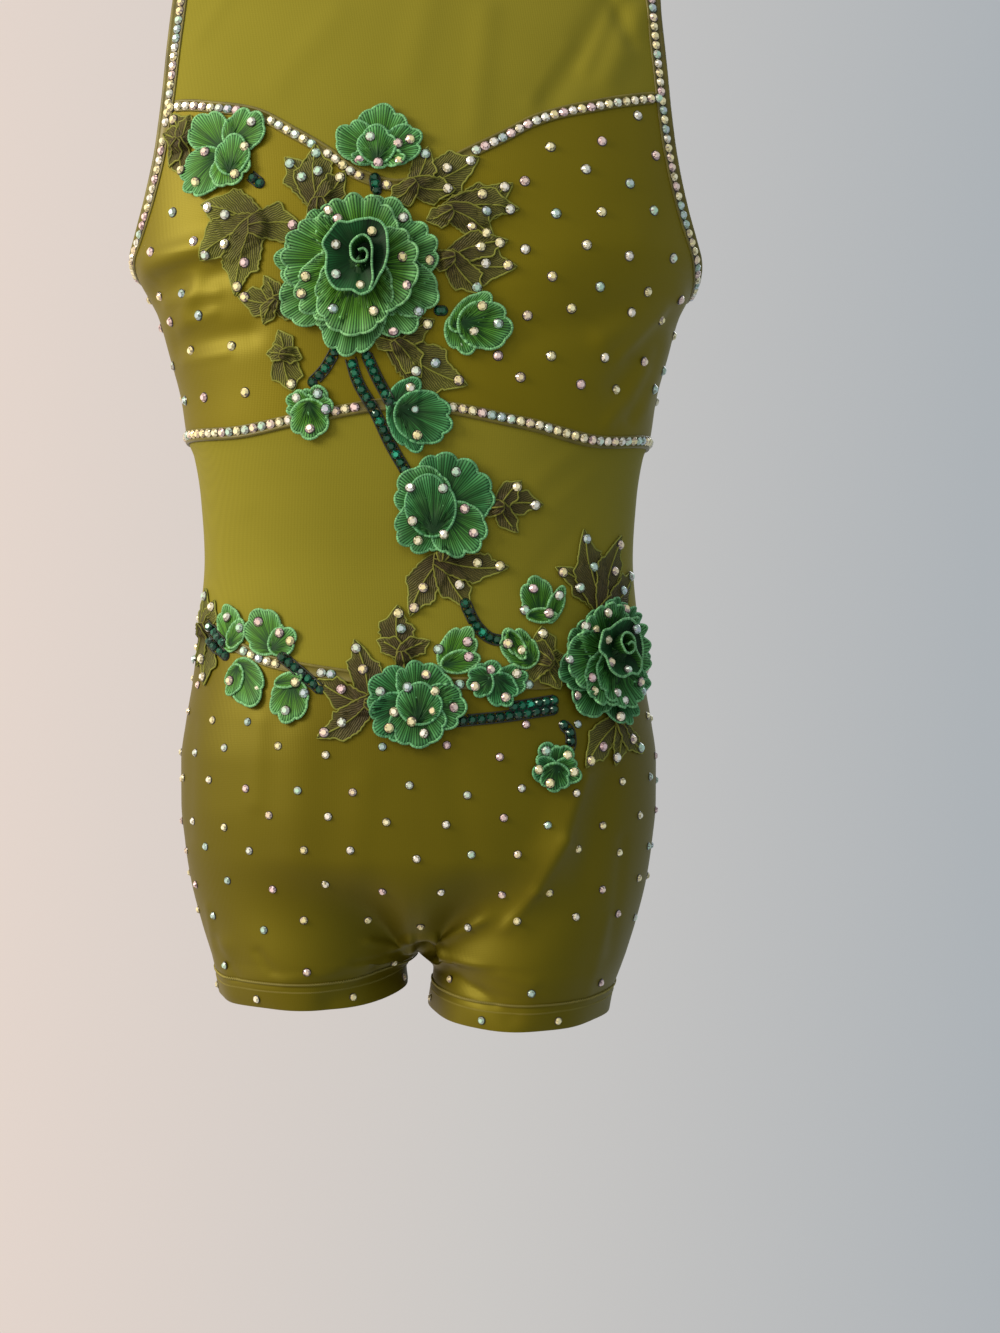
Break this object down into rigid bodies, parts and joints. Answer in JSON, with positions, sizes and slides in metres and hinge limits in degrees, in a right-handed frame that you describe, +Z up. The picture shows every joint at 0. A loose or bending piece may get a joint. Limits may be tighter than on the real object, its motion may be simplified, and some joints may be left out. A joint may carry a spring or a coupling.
{
  "type": "dance biketard",
  "caption": "Child's sleeveless dance biketard with short legs, matte mesh and satin panels, and flower appliques.",
  "frame": {"origin": "midway between the two shoulders, level with the middle of each shoulder", "axes": "+Z up, -Y the way the front faces, +X the wearer's left"},
  "size_m": [0.3031, 0.1808, 0.6084],
  "materials": {
    "satin": "shiny stretch satin",
    "matte_mesh": "matte stretch mesh",
    "leaf_thread": "embroidered thread",
    "petal_thread": "embroidered thread"
  },
  "bodies": {
    "root": {"armhole_binding_left": "satin", "armhole_binding_right": "satin", "bud_hip": "petal_thread", "bud_rose": "petal_thread", "bud_waist": "petal_thread", "bust_back": "satin", "bust_front": "satin", "flower_armhole": "petal_thread", "flower_hip_small": "petal_thread", "flower_midriff": "petal_thread", "flower_neck": "petal_thread", "flower_underbust_east": "petal_thread", "flower_underbust_west": "petal_thread", "flower_waist": "petal_thread", "flower_waist_east": "petal_thread", "hip_rose_bud": "petal_thread", "hip_rose_inner": "petal_thread", "hip_rose_middle": "petal_thread", "hip_rose_outer": "petal_thread", "leaf_armhole": "leaf_thread", "leaf_hip_above": "leaf_thread", "leaf_hip_below": "leaf_thread", "leaf_midriff": "leaf_thread", "leaf_rose_drop": "leaf_thread", "leaf_rose_east": "leaf_thread", "leaf_rose_north": "leaf_thread", "leaf_rose_northeast": "leaf_thread", "leaf_rose_south": "leaf_thread", "leaf_rose_southeast": "leaf_thread", "leaf_rose_southwest": "leaf_thread", "leaf_rose_west": "leaf_thread", "leaf_side": "leaf_thread", "leaf_sprig": "leaf_thread", "leaf_waist_east": "leaf_thread", "leaf_waist_middle": "leaf_thread", "leaf_waist_west": "leaf_thread", "midriff_back": "matte_mesh", "midriff_front": "matte_mesh", "petal_hip": "petal_thread", "petal_side_lower": "petal_thread", "petal_side_lower_small": "petal_thread", "petal_side_upper": "petal_thread", "petal_side_upper_wide": "petal_thread", "rose_bud": "petal_thread", "rose_inner": "petal_thread", "rose_middle": "petal_thread", "rose_outer": "petal_thread", "shorts_back": "satin", "shorts_front": "satin", "sweetheart_band": "satin", "underbust_band_back": "satin", "underbust_band_front": "satin", "waist_band_back": "satin", "waist_band_front": "satin", "yoke_back": "matte_mesh", "yoke_front": "matte_mesh"}
  },
  "joints": []
}
